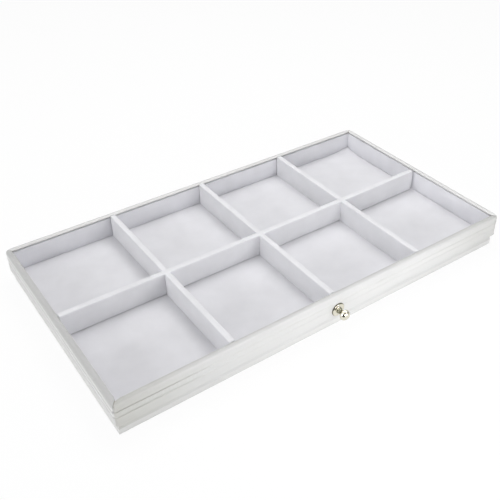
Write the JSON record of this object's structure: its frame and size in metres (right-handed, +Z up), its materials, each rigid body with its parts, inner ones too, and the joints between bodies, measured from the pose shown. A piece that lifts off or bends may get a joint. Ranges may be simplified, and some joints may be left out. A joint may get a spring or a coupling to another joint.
{
  "type": "compartment display tray",
  "caption": "Shallow rectangular jewelry display tray with a rounded rim, a lift-out lattice of lined dividers, a recessed plinth and a small metal knob on the front wall.",
  "frame": {"origin": "centre of the felt underside, in plan the centre of the lined well (the knob is left out of the centring)", "axes": "+X along the long walls, -Y out of the front wall that carries the knob, +Z up, out of the compartments"},
  "size_m": [0.375, 0.2167, 0.032],
  "materials": {
    "frame_wood": "bare planed softwood",
    "leatherette": "white leatherette, lightly grained, satin",
    "wall_lining": "pale lavender-grey brushed lining",
    "plinth_white": "board faced in white, satin",
    "base_felt": "pale grey felt",
    "floor_wood": "bare fibreboard",
    "floor_foam": "thin soft padding",
    "floor_cloth": "pale lavender-grey brushed cloth, matte",
    "divider_wood": "bare fibreboard strip",
    "divider_cloth": "near white brushed cloth, matte",
    "knob_metal": "polished nickel",
    "steel": "plain zinc-plated steel"
  },
  "bodies": {
    "tray": {"back_lining": "wall_lining", "back_rail": "frame_wood", "back_wrap": "leatherette", "base_board": "plinth_white", "base_brads": "steel", "base_felt": "base_felt", "corner_brads": "steel", "floor_board": "floor_wood", "floor_lining": "floor_cloth", "floor_pad": "floor_foam", "front_lining": "wall_lining", "front_rail": "frame_wood", "front_wrap": "leatherette", "knob": "knob_metal", "knob_rosette": "knob_metal", "knob_screw": "steel", "left_lining": "wall_lining", "left_rail": "frame_wood", "left_wrap": "leatherette", "right_lining": "wall_lining", "right_rail": "frame_wood", "right_wrap": "leatherette"},
    "divider_lattice": {"long_divider_core": "divider_wood", "long_divider_wrap": "divider_cloth", "short_divider_1_core": "divider_wood", "short_divider_1_wrap": "divider_cloth", "short_divider_2_core": "divider_wood", "short_divider_2_wrap": "divider_cloth", "short_divider_3_core": "divider_wood", "short_divider_3_wrap": "divider_cloth"}
  },
  "joints": [
    {"name": "lattice_lift", "type": "slide", "parent": "tray", "child": "divider_lattice", "axis": [0, 0, 1], "range_m": [0, 0.024]}
  ]
}
